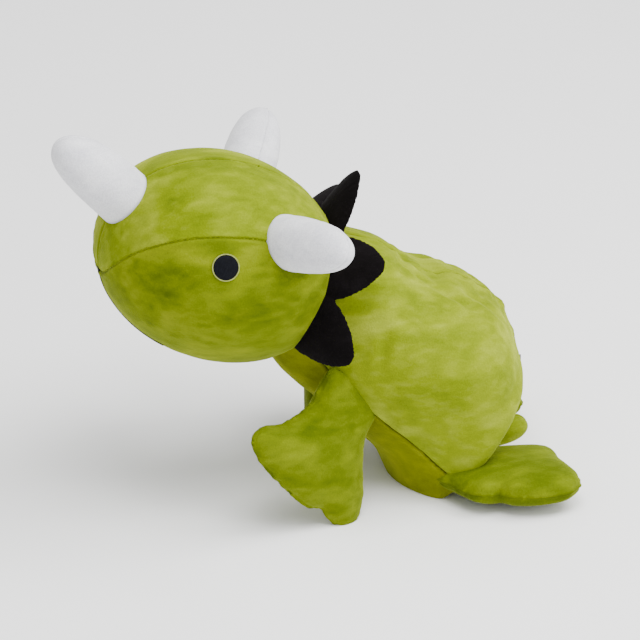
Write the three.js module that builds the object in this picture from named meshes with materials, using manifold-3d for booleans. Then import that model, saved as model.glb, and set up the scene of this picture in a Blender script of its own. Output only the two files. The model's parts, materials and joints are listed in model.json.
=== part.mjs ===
// A sitting stuffed dinosaur with three horns and a frill of five padded spikes.
// Millimetres, +Z up. It faces -Y and its left side is +X. The origin is on the floor, in the
// middle plane, on the flat that it sits on. Every panel, filling and sewn-on detail is a solid.
import * as THREE from 'three';
import { mergeVertices } from 'three/addons/utils/BufferGeometryUtils.js';
import Module from 'manifold-3d';

const wasm = await Module();
wasm.setup();

// ---------------------------------------------------------------- driving dimensions
const SKIN = 2.5; // plush cloth with its pile
const GAP = 0.4; // left between pieces that touch
const CLEARANCE = 3.6; // cut round the torso from the parts that turn against it
const BIG = 900; // side of the cutting blocks
const SEAT = [0, 198, 0]; // the middle of the flat under the rump, behind the middle of the head

const HEAD = {
  centre: [0, 0, 236],
  pitch: 25,
  halfWidth: 102,
  halfLength: 114,
  halfHeight: 92.5,
  squareness: 2.06,
  neckPlane: 82, // the neck opening, behind the middle of the head
  cheekHalves: [123, 83], // half length and half height of the oval cheek seam
  cheekCentre: [20, -27], // y and z of its middle
};

const TORSO = {
  neck: [0, 74.7, 200.9],
  pitch: 40,
  squareness: 2.12,
  taper: 0.13, // how much narrower it is below its middle than above
  // distance behind the neck, half height, half width and rise of the middle
  stations: [
    [-34, 0, 0, 0],
    [-22, 42, 42, 0],
    [0, 59, 57, -1],
    [40, 73, 68, -1],
    [80, 75, 84, -3],
    [122, 83, 95, 1],
    [162, 88, 98, 2],
    [196, 88, 94, -14],
    [222, 79, 82, -34],
    [233, 0, 0, -62],
  ],
  bellyHalfAngle: 55,
};

const PELLETS = { centre: [0, 218, 46], halfSize: [78, 64, 54] };

const NOSE_HORN = { base: [0, -109.6, 26.5], along: [0, -0.915, 0.403], length: 86, radius: 26.5, bend: 6 };
const BROW_HORN = { base: [72.7, 24.5, 56.3], along: [0.863, 0.279, 0.42], length: 88, radius: 25, bend: 3 };
const HORN_SINK = 13; // how far a horn starts inside the head, before it is trimmed

// points of the mouth on the front of the head, as distances to the left and up
const MOUTH = {
  radius: 2.6,
  stem: [
    [0, -44],
    [0, -58],
    [0, -70],
  ],
  arms: [
    [-38, -84],
    [-20, -81],
    [0, -69],
    [20, -81],
    [38, -84],
  ],
};

const EYE = { place: [97.2, -30.8, 24.3], radius: 11.6, rim: 1.3, height: 3.2 };

const SPIKE = {
  turns: [0, 50, 101],
  halfBase: 29,
  length: 52,
  thickness: 13,
  curl: 0.0062,
  topLean: 11,
  sideLean: 41,
};

const TAIL = { centre: [0, 252, 28], radius: 15, length: 50 };

const LABEL = { place: [0, 277, 97], size: [1.2, 12, 9] };

const FRONT_LEG = {
  shoulder: [66, 103.5, 113],
  along: [0.37, -0.6, -0.709], // from the shoulder to the toes
  across: [0.111, -0.648, 0.753], // from the floor corner to the raised corner
  // how far each leg is turned to the side, tipped forwards and moved, and the way that it flaps
  pose: {
    left: { aside: 0, tipped: 0, moved: [0, 0, 0], flap: 1 },
    right: { aside: 95, tipped: 11, moved: [14, 4, 0], flap: -1 },
  },
  thickness: 44,
  centre: [0, 54],
  outline: [
    [28, -14],
    [32, 26],
    [48, 55],
    [69, 71],
    [66, 88],
    [32, 100],
    [-22, 104],
    [-36, 96],
    [-50, 102],
    [-78, 100],
    [-74, 72],
    [-54, 45],
    [-39, 20],
    [-32, -14],
  ],
};

const HIND_LEG = {
  middle: [0, 0, 21.5],
  pose: {
    left: { aside: 0, tipped: 0, moved: [0, 0, 0], flap: 1 },
    right: { aside: -8, tipped: 0, moved: [0, 0, 0], flap: 1 },
  },
  thickness: 45,
  centre: [88, 252],
  outline: [
    [34, 176],
    [62, 182],
    [92, 196],
    [112, 208],
    [118, 222],
    [115, 230],
    [127, 242],
    [134, 268],
    [130, 296],
    [111, 309],
    [76, 302],
    [40, 286],
  ],
};

// The joints that the loose parts turn about: a place, an axis and a range in degrees.
const NOD = { place: TORSO.neck, axis: [1, 0, 0], range: [-10, 12] };
const FLAP = { place: FRONT_LEG.shoulder, axis: FRONT_LEG.across, range: [0, 24] };
const LIFT = { place: [64, 235, 22], axis: [0, -1, 0], range: [0, 18] };
const WAG = { place: [0, 243, 28], axis: [0, 0, 1], range: [-15, 15] };

const COLOURS = {
  plush: { color: 0x9db02a, roughness: 0.95, metalness: 0 },
  belly: { color: 0xa3a72c, roughness: 0.95, metalness: 0 },
  white: { color: 0xf2f1ee, roughness: 0.95, metalness: 0 },
  charcoal: { color: 0x3a3437, roughness: 0.95, metalness: 0 },
  black: { color: 0x121212, roughness: 0.6, metalness: 0 },
  thread: { color: 0xc9cfa0, roughness: 0.8, metalness: 0 },
  filling: { color: 0xf6f6f4, roughness: 1, metalness: 0 },
  pellets: { color: 0xdedede, roughness: 0.7, metalness: 0 },
};

// ---------------------------------------------------------------- solids and frames
const vector = (numbers) => new THREE.Vector3(...numbers);
const radians = THREE.MathUtils.degToRad;

/** A closed solid from a three.js geometry, turned the right way out. */
function solid(geometry) {
  const bare = new THREE.BufferGeometry();
  bare.setAttribute('position', geometry.attributes.position);
  bare.setIndex(geometry.index);
  const merged = mergeVertices(bare, 1e-4);
  const corners = merged.attributes.position;
  const a = new THREE.Vector3();
  const b = new THREE.Vector3();
  const c = new THREE.Vector3();
  const faces = [];
  let volume = 0;
  for (let i = 0; i < merged.index.count; i += 3) {
    const face = [0, 1, 2].map((k) => merged.index.getX(i + k));
    if (new Set(face).size === 3) {
      faces.push(face);
      a.fromBufferAttribute(corners, face[0]);
      b.fromBufferAttribute(corners, face[1]);
      c.fromBufferAttribute(corners, face[2]);
      volume += a.dot(b.cross(c));
    }
  }
  const triVerts = Uint32Array.from(faces.flatMap((face) => (volume < 0 ? face.reverse() : face)));
  return new wasm.Manifold(new wasm.Mesh({ numProp: 3, vertProperties: corners.array, triVerts }));
}

/** A unit sphere whose points are moved by place(point, turn), with its poles on Y. */
function blob(columns, rows, place) {
  const geometry = new THREE.SphereGeometry(1, columns, rows);
  const { position, uv } = geometry.attributes;
  const point = new THREE.Vector3();
  for (let i = 0; i < position.count; i += 1) {
    point.fromBufferAttribute(position, i);
    place(point, uv.getX(i));
    position.setXYZ(i, point.x, point.y, point.z);
  }
  return geometry;
}

/** A frame that is moved to a place and pitched nose-up about X. */
function pitched(place, pitch) {
  const frame = new THREE.Matrix4().makeRotationX(radians(-pitch));
  return frame.setPosition(vector(place));
}

/** A frame with its Y axis along a direction and its X axis near another. */
function aimed(place, along, across) {
  const y = vector(along).normalize();
  const z = vector(across).cross(y).normalize();
  const x = y.clone().cross(z);
  return new THREE.Matrix4().makeBasis(x, y, z).setPosition(vector(place));
}

/** The mirror image of a frame, on the dinosaur's other side. */
function otherSide(frame) {
  return new THREE.Matrix4().makeScale(-1, 1, 1).multiply(frame);
}

/** A large block that fills one side of a plane in a frame: axis 0, 1 or 2, side -1 or 1. */
function block(frame, axis, side, from = GAP / 2) {
  const offset = [0, 0, 0];
  offset[axis] = side * BIG / 2 + side * from;
  const box = new THREE.BoxGeometry(BIG, BIG, BIG).translate(...offset);
  return solid(box.applyMatrix4(frame));
}

const WORLD = new THREE.Matrix4();
const HEAD_FRAME = pitched(HEAD.centre, HEAD.pitch);
const TORSO_FRAME = pitched(TORSO.neck, TORSO.pitch);

/** What is above the floor by at least a height. */
const above = (height) => block(WORLD, 2, 1, height);

/** Outside, lining and filling of a sewn shape, each flat where it rests on the floor. */
function sewn(shape, frame) {
  const layer = (inset) => solid(shape(inset).applyMatrix4(frame)).intersect(above(inset));
  return { outside: layer(0), lining: layer(SKIN), filling: layer(SKIN + GAP) };
}

/** The union of copies of a solid's geometry, turned back through a joint's range. */
function swept(geometry, joint, steps) {
  const [least, most] = joint.range;
  const axis = vector(joint.axis).normalize();
  const place = vector(joint.place);
  let union = null;
  for (let i = 0; i <= steps; i += 1) {
    const angle = radians(least + ((most - least) * i) / steps);
    const copy = geometry.clone().translate(-place.x, -place.y, -place.z);
    copy.applyMatrix4(new THREE.Matrix4().makeRotationAxis(axis, -angle));
    const turned = solid(copy.translate(place.x, place.y, place.z));
    union = union ? union.add(turned) : turned;
  }
  return union;
}

// ---------------------------------------------------------------- shapes
/** The head's outline: a slightly squared ellipsoid, smaller all round by the inset. */
function headShape(inset, columns = 20, rows = 12) {
  const halves = [HEAD.halfWidth, HEAD.halfLength, HEAD.halfHeight].map((half) => half - inset);
  return blob(columns, rows, (point) => {
    const sum = point.toArray().reduce((total, part) => total + Math.abs(part) ** HEAD.squareness, 0);
    point.multiply(vector(halves)).multiplyScalar(sum ** (-1 / HEAD.squareness));
  });
}

/** The pear-shaped torso, along Y from the neck to the rump. */
function torsoShape(inset, columns = 20, rings = 12) {
  const rows = TORSO.stations;
  const high = new THREE.CatmullRomCurve3(rows.map(([at, tall, , rise]) => vector([at, tall, rise])));
  const wide = new THREE.CatmullRomCurve3(rows.map(([at, , broad]) => vector([at, broad, 0])));
  const middle = (rows[0][0] + rows.at(-1)[0]) / 2;
  return blob(columns, rings, (point) => {
    const share = Math.acos(THREE.MathUtils.clamp(-point.y, -1, 1)) / Math.PI;
    const tall = high.getPoint(share);
    const broad = wide.getPoint(share);
    const across = Math.hypot(point.x, point.z) || 1;
    const x = point.x / across;
    const z = point.z / across;
    const sum = Math.abs(x) ** TORSO.squareness + Math.abs(z) ** TORSO.squareness || 1;
    const squared = sum ** (-1 / TORSO.squareness);
    const alongInset = inset * Math.sign(middle - tall.x) * (1 - Math.sin(share * Math.PI));
    point.set(
      x * squared * Math.max(broad.y - inset, 0) * (1 + TORSO.taper * z),
      tall.x + alongInset,
      z * squared * Math.max(tall.y - inset, 0) + tall.z,
    );
  });
}

/** An egg-shaped horn along Y from its base, bent a little towards +Z. */
function hornShape({ length, radius, bend }, inset, columns = 10, rows = 5) {
  const whole = length + HORN_SINK;
  const points = [new THREE.Vector2(0, inset)];
  for (let i = 0; i < rows; i += 1) {
    const share = Math.sin((i / rows) * (Math.PI / 2));
    const reach = inset + share * (whole - 2 * inset);
    points.push(new THREE.Vector2((radius - inset) * (1 - share ** 3.6) ** 0.5, reach));
  }
  points.push(new THREE.Vector2(0, whole - inset));
  const horn = new THREE.LatheGeometry(points, columns);
  const { position } = horn.attributes;
  for (let i = 0; i < position.count; i += 1) {
    const reach = position.getY(i);
    position.setZ(i, position.getZ(i) + bend * (reach / whole) ** 2);
  }
  return horn.translate(0, -HORN_SINK, 0);
}

/** A flat padded shape with a seam all round its outline, lying in XY. */
function pillowShape({ outline, centre, thickness, curl = 0 }, inset, columns = 20, rows = 5) {
  const edge = new THREE.CatmullRomCurve3(outline.map(([x, y]) => new THREE.Vector3(x, y, 0)), true);
  const middle = new THREE.Vector3(...centre, 0);
  return blob(columns, rows, (point, turn) => {
    const reach = Math.hypot(point.x, point.z);
    const rim = edge.getPointAt(THREE.MathUtils.euclideanModulo(turn, 1)).sub(middle);
    const shorter = Math.max(1 - inset / rim.length(), 0);
    const height = Math.sign(point.y) * Math.abs(point.y) ** 1.15 * (thickness / 2 - inset);
    point.copy(rim).multiplyScalar(reach * shorter).add(middle);
    point.z = height - curl * point.x ** 2;
  });
}

// ---------------------------------------------------------------- bodies
const model = new THREE.Group();

/** Adds a group for a body, with its origin at the place that the body turns about. */
function body(place) {
  const group = new THREE.Group();
  group.position.copy(vector(place));
  model.add(group);
  return group;
}

/** Adds a solid, given in the world's frame, to a body as a named mesh. */
function add(group, name, shape, colour) {
  const { vertProperties, triVerts } = shape.getMesh();
  const geometry = new THREE.BufferGeometry();
  geometry.setAttribute('position', new THREE.BufferAttribute(vertProperties, 3));
  geometry.setIndex(new THREE.BufferAttribute(triVerts, 1));
  geometry.translate(-group.position.x, -group.position.y, -group.position.z);
  geometry.computeVertexNormals();
  const mesh = new THREE.Mesh(geometry, new THREE.MeshStandardMaterial(COLOURS[colour]));
  mesh.name = name;
  group.add(mesh);
}

const SIDES = [
  ['left', 1],
  ['right', -1],
];

/** Adds the two cover halves and the filling of a sewn shape, after trimming them. */
function addSewn(group, name, parts, halves, trim, colour) {
  const cover = parts.outside.subtract(parts.lining).subtract(trim);
  halves.forEach(([half, side]) => add(group, `${name}_${half}`, cover.intersect(side), colour));
  add(group, `${name}_filling`, parts.filling.subtract(trim), 'filling');
}

// The torso: two sides, a belly, a filling and a pouch of pellets that rests on the belly.
function buildTorso() {
  const torso = body(TORSO.neck);
  const parts = sewn((inset) => torsoShape(inset), TORSO_FRAME);
  const cover = parts.outside.subtract(parts.lining);
  const belly = new THREE.Shape();
  const spread = Math.tan(radians(TORSO.bellyHalfAngle)) * BIG;
  belly.moveTo(0, 0);
  belly.lineTo(-spread, -BIG);
  belly.lineTo(spread, -BIG);
  const wedge = (lift) => {
    const prism = new THREE.ExtrudeGeometry(belly, { depth: BIG, bevelEnabled: false });
    prism.translate(0, lift, -BIG / 2).rotateX(Math.PI / 2);
    return solid(prism.applyMatrix4(TORSO_FRAME));
  };
  add(torso, 'belly_panel', cover.intersect(wedge(-GAP)), 'belly');
  const sides = cover.subtract(wedge(GAP));
  SIDES.forEach(([name, side]) => {
    add(torso, `torso_panel_${name}`, sides.intersect(block(WORLD, 0, side)), 'plush');
  });
  const pouch = (grow) => {
    const shape = blob(18, 10, (point) => {
      point.multiply(vector(PELLETS.halfSize.map((half) => half + grow)));
    });
    return solid(shape.translate(...PELLETS.centre));
  };
  add(torso, 'torso_filling', parts.filling.subtract(pouch(GAP)), 'filling');
  add(torso, 'pellet_pouch', parts.filling.intersect(pouch(0)), 'pellets');
  const tab = new THREE.BoxGeometry(...LABEL.size).translate(...LABEL.place);
  add(torso, 'seam_label', solid(tab).subtract(solid(torsoShape(-GAP).applyMatrix4(TORSO_FRAME))), 'black');
}

const torsoSurround = torsoShape(-CLEARANCE, 16, 10).applyMatrix4(TORSO_FRAME);

// The head: two cheeks, two crown panels and a filling, open at the neck.
function buildHead() {
  const head = body(NOD.place);
  const parts = sewn((inset) => headShape(inset), HEAD_FRAME);
  const neck = block(HEAD_FRAME, 1, 1, HEAD.neckPlane).add(swept(torsoSurround, NOD, 3));
  const cover = parts.outside.subtract(parts.lining).subtract(neck);
  const cheek = (grow) => {
    const disc = new THREE.CylinderGeometry(1, 1, BIG, 36).rotateZ(Math.PI / 2);
    disc.scale(1, ...HEAD.cheekHalves.map((half) => half + grow)).translate(0, ...HEAD.cheekCentre);
    return solid(disc.applyMatrix4(HEAD_FRAME));
  };
  SIDES.forEach(([name, side]) => {
    const half = block(WORLD, 0, side);
    add(head, `cheek_${name}`, cover.intersect(cheek(-GAP / 2)).intersect(half), 'plush');
    add(head, `crown_${name}`, cover.subtract(cheek(GAP / 2)).intersect(half), 'plush');
  });
  add(head, 'head_filling', parts.filling.subtract(neck), 'filling');
  const skull = solid(headShape(-GAP).applyMatrix4(HEAD_FRAME));
  buildHorns(head, skull);
  buildFace(head, skull);
  buildFrill(head, skull.add(swept(torsoSurround, NOD, 3)));
}

/** Two-panel horns, each trimmed where it is sewn to the head. */
function buildHorns(head, skull) {
  const nose = aimed(NOSE_HORN.base, NOSE_HORN.along, [1, 0, 0]);
  const brow = aimed(BROW_HORN.base, BROW_HORN.along, [0, 1, 0]);
  const horns = [
    ['nose_horn', NOSE_HORN, nose],
    ['brow_horn_left', BROW_HORN, brow],
    ['brow_horn_right', BROW_HORN, otherSide(brow)],
  ];
  horns.forEach(([name, size, place]) => {
    const frame = HEAD_FRAME.clone().multiply(place);
    const parts = sewn((inset) => hornShape(size, inset), frame);
    const halves = [
      ['panel_a', block(frame, 0, 1)],
      ['panel_b', block(frame, 0, -1)],
    ];
    addSewn(head, name, parts, halves, skull, 'white');
  });
}

/** Stitched eyes with a pale rim, and the stitched line of the mouth. */
function buildFace(head, skull) {
  const { radius, rim, height } = EYE;
  const dome = [
    [0, -height],
    [radius, -height],
    [radius, 0],
    [radius * 0.7, height * 0.35],
    [0, height * 0.5],
  ];
  const ring = [
    [radius + GAP, -height],
    [radius + GAP + rim, -height],
    [radius + GAP + rim, height * 0.1],
    [radius + GAP, height * 0.2],
    [radius + GAP, -height],
  ];
  const turned = (profile) => new THREE.LatheGeometry(profile.map(([x, y]) => new THREE.Vector2(x, y)), 20);
  SIDES.forEach(([name, side]) => {
    const normal = [0, 1, 2].map((k) => {
      const half = [HEAD.halfWidth, HEAD.halfLength, HEAD.halfHeight][k];
      return EYE.place[k] / half ** 2;
    });
    const place = aimed(EYE.place, normal, [0, 1, 0]);
    const frame = HEAD_FRAME.clone().multiply(side < 0 ? otherSide(place) : place);
    add(head, `eye_${name}`, solid(turned(dome).applyMatrix4(frame)).subtract(skull), 'black');
    add(head, `eye_rim_${name}`, solid(turned(ring).applyMatrix4(frame)).subtract(skull), 'thread');
  });
  add(head, 'mouth_stitching', mouthLine().subtract(skull), 'black');
}

/** A point of the head's front at a distance to the left and up, in the head's own frame. */
function onFace(left, up) {
  const power = HEAD.squareness;
  const rest = 1 - Math.abs(left / HEAD.halfWidth) ** power - Math.abs(up / HEAD.halfHeight) ** power;
  return new THREE.Vector3(left, -HEAD.halfLength * Math.max(rest, 0) ** (1 / power), up);
}

/** A thick stitched line: a stem under the nose and an arm to each corner of the mouth. */
function mouthLine() {
  const section = new THREE.Shape();
  section.absarc(0, 0, MOUTH.radius, 0, Math.PI * 2);
  const lines = [
    MOUTH.stem.map(([left, up]) => onFace(left, up)),
    MOUTH.arms.map(([left, up]) => onFace(left, up)),
  ];
  const strands = lines.map((points) => {
    const extrudePath = new THREE.CatmullRomCurve3(points);
    const steps = points.length * 3;
    const tube = new THREE.ExtrudeGeometry(section, { extrudePath, steps, curveSegments: 4 });
    return solid(tube.applyMatrix4(HEAD_FRAME));
  });
  return strands[0].add(strands[1]);
}

/** Five padded spikes round the neck opening, each curved with the opening. */
function buildFrill(head, trim) {
  const { halfBase, length, thickness, curl } = SPIKE;
  const outline = [
    [-halfBase, -9],
    [0, -11],
    [halfBase, -9],
    [halfBase * 0.97, length * 0.2],
    [halfBase * 0.74, length * 0.56],
    [halfBase * 0.36, length * 0.88],
    [0, length],
    [-halfBase * 0.36, length * 0.88],
    [-halfBase * 0.74, length * 0.56],
    [-halfBase * 0.97, length * 0.2],
  ];
  const share = (1 - (HEAD.neckPlane / HEAD.halfLength) ** HEAD.squareness) ** (1 / HEAD.squareness);
  const pillow = { outline, centre: [0, length * 0.36], thickness, curl };
  const spikes = [
    ['frill_spike_top', SPIKE.turns[0], SPIKE.topLean],
    ['frill_spike_upper_left', SPIKE.turns[1], SPIKE.sideLean],
    ['frill_spike_upper_right', -SPIKE.turns[1], SPIKE.sideLean],
    ['frill_spike_lower_left', SPIKE.turns[2], SPIKE.sideLean],
    ['frill_spike_lower_right', -SPIKE.turns[2], SPIKE.sideLean],
  ];
  spikes.forEach(([name, turn, lean]) => {
    const angle = radians(turn);
    const out = new THREE.Vector3(Math.sin(angle), 0, Math.cos(angle));
    const tangent = [Math.cos(angle), 0, -Math.sin(angle)];
    const base = [share * HEAD.halfWidth * out.x, HEAD.neckPlane, share * HEAD.halfHeight * out.z];
    const back = vector([0, Math.sin(radians(lean)), 0]);
    const along = out.multiplyScalar(Math.cos(radians(lean))).add(back);
    const frame = HEAD_FRAME.clone().multiply(aimed(base, along.toArray(), tangent));
    const parts = sewn((inset) => pillowShape(pillow, inset, 12, 4), frame);
    const halves = [
      ['front', block(frame, 2, -1)],
      ['back', block(frame, 2, 1)],
    ];
    addSewn(head, name, parts, halves, trim, 'charcoal');
  });
}

/** A joint's mirror image, for the right side. */
function mirrored(joint) {
  const [x, y, z] = joint.axis;
  const [px, py, pz] = joint.place;
  return { place: [-px, py, pz], axis: [x, -y, -z], range: joint.range };
}

/** The four paddle-shaped legs, each with an outer and an inner panel and a filling. */
function buildLegs() {
  const front = aimed(FRONT_LEG.shoulder, FRONT_LEG.along, FRONT_LEG.across);
  const hind = new THREE.Matrix4().setPosition(vector(HIND_LEG.middle));
  SIDES.forEach(([name, side]) => {
    const legs = [
      [`front_leg_${name}`, FRONT_LEG, front, FLAP, FRONT_LEG.pose[name]],
      [`hind_leg_${name}`, HIND_LEG, hind, LIFT, HIND_LEG.pose[name]],
    ];
    legs.forEach(([leg, size, place, joint, pose]) => {
      const turning = side < 0 ? mirrored(joint) : { ...joint };
      const turn = new THREE.Matrix4().makeRotationX(radians(-pose.tipped));
      turn.multiply(new THREE.Matrix4().makeRotationZ(radians(side * pose.aside)));
      const pivot = vector(turning.place);
      const moved = pivot.clone().add(vector(pose.moved));
      turning.axis = vector(turning.axis).applyMatrix4(turn).multiplyScalar(pose.flap).toArray();
      turning.place = moved.toArray();
      turn.setPosition(moved.clone().sub(pivot.applyMatrix4(turn)));
      const frame = turn.multiply(side < 0 ? otherSide(place) : place);
      const parts = sewn((inset) => pillowShape(size, inset), frame);
      const halves = [
        ['outer', block(frame, 2, 1)],
        ['inner', block(frame, 2, -1)],
      ];
      addSewn(body(turning.place), leg, parts, halves, swept(torsoSurround, turning, 3), 'plush');
    });
  });
}

/** A short stub of a tail, low on the rump. */
function buildTail() {
  const frame = aimed(TAIL.centre, [0, 1, 0], [1, 0, 0]);
  const size = { length: TAIL.length - HORN_SINK, radius: TAIL.radius, bend: 2 };
  const parts = sewn((inset) => hornShape(size, inset, 10, 4), frame);
  const halves = [
    ['panel_a', block(WORLD, 0, 1)],
    ['panel_b', block(WORLD, 0, -1)],
  ];
  addSewn(body(WAG.place), 'tail', parts, halves, swept(torsoSurround, WAG, 3), 'plush');
}

buildTorso();
buildHead();
buildLegs();
buildTail();

// The origin goes to the middle of the flat that the toy sits on.
model.position.copy(vector(SEAT)).negate();

export default model;
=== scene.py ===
"""A sitting stuffed dinosaur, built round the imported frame: sewn plush panels over a stuffed
head, torso, legs and tail, three white horns, a frill of five charcoal spikes and an embroidered
face. Metres, +Z up; it faces -Y and its left side is +X."""

import json
import logging
import math
from collections.abc import Callable, Sequence
from dataclasses import dataclass
from enum import Enum

import bmesh
import bpy
from mathutils import Matrix, Vector, noise
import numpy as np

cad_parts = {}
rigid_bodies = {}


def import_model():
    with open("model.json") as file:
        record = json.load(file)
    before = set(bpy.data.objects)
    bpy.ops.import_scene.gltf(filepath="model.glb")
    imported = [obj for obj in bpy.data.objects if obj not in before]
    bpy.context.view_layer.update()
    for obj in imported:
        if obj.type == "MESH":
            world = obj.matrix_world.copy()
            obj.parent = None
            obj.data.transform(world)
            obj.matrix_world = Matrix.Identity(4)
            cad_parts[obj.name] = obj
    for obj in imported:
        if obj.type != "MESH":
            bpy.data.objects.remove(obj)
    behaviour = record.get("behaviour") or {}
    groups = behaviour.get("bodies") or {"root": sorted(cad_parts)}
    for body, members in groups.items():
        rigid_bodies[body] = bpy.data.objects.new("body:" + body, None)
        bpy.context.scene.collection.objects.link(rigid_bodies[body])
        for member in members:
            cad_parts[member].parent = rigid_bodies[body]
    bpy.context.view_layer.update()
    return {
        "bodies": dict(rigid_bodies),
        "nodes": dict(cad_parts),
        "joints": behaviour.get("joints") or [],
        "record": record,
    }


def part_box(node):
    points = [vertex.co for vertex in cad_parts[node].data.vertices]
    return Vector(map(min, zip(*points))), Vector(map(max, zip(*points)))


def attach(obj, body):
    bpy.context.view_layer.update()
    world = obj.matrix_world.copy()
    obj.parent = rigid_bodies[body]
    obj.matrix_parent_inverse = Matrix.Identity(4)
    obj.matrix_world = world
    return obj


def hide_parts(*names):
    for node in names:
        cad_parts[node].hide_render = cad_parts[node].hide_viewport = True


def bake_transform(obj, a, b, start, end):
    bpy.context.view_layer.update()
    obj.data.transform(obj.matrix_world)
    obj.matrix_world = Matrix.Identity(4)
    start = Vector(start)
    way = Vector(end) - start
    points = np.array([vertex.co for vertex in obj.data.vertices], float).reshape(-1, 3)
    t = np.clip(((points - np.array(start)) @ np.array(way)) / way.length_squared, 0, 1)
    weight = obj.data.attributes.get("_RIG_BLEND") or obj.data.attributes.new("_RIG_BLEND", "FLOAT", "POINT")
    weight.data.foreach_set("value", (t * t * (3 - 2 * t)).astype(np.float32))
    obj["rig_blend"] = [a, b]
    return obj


LOG = logging.getLogger("stuffed_dinosaur")
MM = 0.001

Colour = tuple[float, float, float]
Field = Callable[[Vector], float]


class Slot(Enum):
    """The material slots of the record."""

    GREEN = "green_plush"
    BELLY = "belly_plush"
    WHITE = "white_plush"
    CHARCOAL = "charcoal_plush"
    THREAD = "black_thread"
    EDGING = "pale_thread"
    RIBBON = "label_ribbon"
    FILLING = "polyester_filling"
    POUCH = "pellet_pouch"


class Side(Enum):
    """The two sides of the dinosaur, with the sign of X on each."""

    LEFT = 1
    RIGHT = -1

    @property
    def word(self) -> str:
        """The side's name, as it stands in the names of pieces."""
        return self.name.lower()


# ------------------------------------------------------------------------------ finishes
class Graph:
    """A material's node tree, filled one node at a time."""

    def __init__(self, name: str) -> None:
        """Starts an empty node tree.

        Args:
            name: The material's name.
        """
        self.material = bpy.data.materials.new(name)
        self.material.use_nodes = True
        self.tree = self.material.node_tree
        self.tree.nodes.clear()

    def add(self, kind: str, sockets: dict | None = None, **settings: object) -> bpy.types.Node:
        """Adds a node.

        Args:
            kind: The node's type, without the word ShaderNode.
            sockets: A number, a colour or another node's output for each input.
            settings: Properties of the node.

        Returns:
            The node.
        """
        node = self.tree.nodes.new("ShaderNode" + kind)
        for key, value in settings.items():
            setattr(node, key, value)
        for key, value in (sockets or {}).items():
            if isinstance(value, bpy.types.NodeSocket):
                self.tree.links.new(value, node.inputs[key])
            else:
                node.inputs[key].default_value = value
        return node

    def place(
        self, stretch: Sequence[float] = (1, 1, 1), turn: Sequence[float] = (0, 0, 0)
    ) -> bpy.types.NodeSocket:
        """The piece's own coordinates, turned and stretched.

        Args:
            stretch: How much the pattern is squeezed along each axis.
            turn: The pattern's turn about each axis, in radians.

        Returns:
            The output that holds the coordinates.
        """
        own = self.add("TexCoord").outputs["Object"]
        sockets = {"Vector": own, "Scale": tuple(stretch), "Rotation": tuple(turn)}
        return self.add("Mapping", sockets).outputs["Vector"]

    def noise(
        self, place: bpy.types.NodeSocket, grain: float, detail: float, warp: float = 0.0
    ) -> bpy.types.NodeSocket:
        """Soft random patches.

        Args:
            place: The coordinates.
            grain: The size of a patch, in metres.
            detail: How many finer layers are added.
            warp: How much the patches are smeared.

        Returns:
            The output that holds the strength.
        """
        sockets = {
            "Vector": place,
            "Scale": 1 / grain,
            "Detail": detail,
            "Roughness": 0.55,
            "Distortion": warp,
        }
        return self.add("TexNoise", sockets).outputs["Fac"]

    def ramp(
        self, strength: bpy.types.NodeSocket, stops: Sequence[tuple[float, Colour]]
    ) -> bpy.types.NodeSocket:
        """Turns a strength into a colour.

        Args:
            strength: The output to read.
            stops: The place and colour of each stop.

        Returns:
            The output that holds the colour.
        """
        node = self.add("ValToRGB", {"Fac": strength})
        band = node.color_ramp
        while len(band.elements) < len(stops):
            band.elements.new(0.5)
        for element, (at, colour) in zip(band.elements, stops):
            element.position = at
            element.color = (*colour, 1)
        return node.outputs["Color"]

    def mix(self, way: str, share: object, first: object, second: object) -> bpy.types.NodeSocket:
        """Mixes two colours.

        Args:
            way: The blend type.
            share: How much of the second is used.
            first: The first colour.
            second: The second colour.

        Returns:
            The output that holds the colour.
        """
        node = self.add("Mix", data_type="RGBA", blend_type=way)
        for key, value in ((0, share), (6, first), (7, second)):
            if isinstance(value, bpy.types.NodeSocket):
                self.tree.links.new(value, node.inputs[key])
            else:
                node.inputs[key].default_value = value
        return node.outputs[2]

    def bump(
        self, height: bpy.types.NodeSocket, strength: float, depth: float, under: object = None
    ) -> bpy.types.NodeSocket:
        """Raises the surface.

        Args:
            height: The output that holds the height.
            strength: How much it shows, from 0 to 1.
            depth: The height of the relief, in metres.
            under: The normal of a coarser relief.

        Returns:
            The output that holds the normal.
        """
        sockets = {"Height": height, "Strength": strength, "Distance": depth}
        if under is not None:
            sockets["Normal"] = under
        return self.add("Bump", sockets).outputs["Normal"]

    def finish(self, sockets: dict) -> bpy.types.Material:
        """Adds the surface shader.

        Args:
            sockets: The inputs of the surface shader.

        Returns:
            The finished material.
        """
        shader = self.add("BsdfPrincipled", sockets)
        self.add("OutputMaterial", {"Surface": shader.outputs["BSDF"]})
        return self.material


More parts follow.
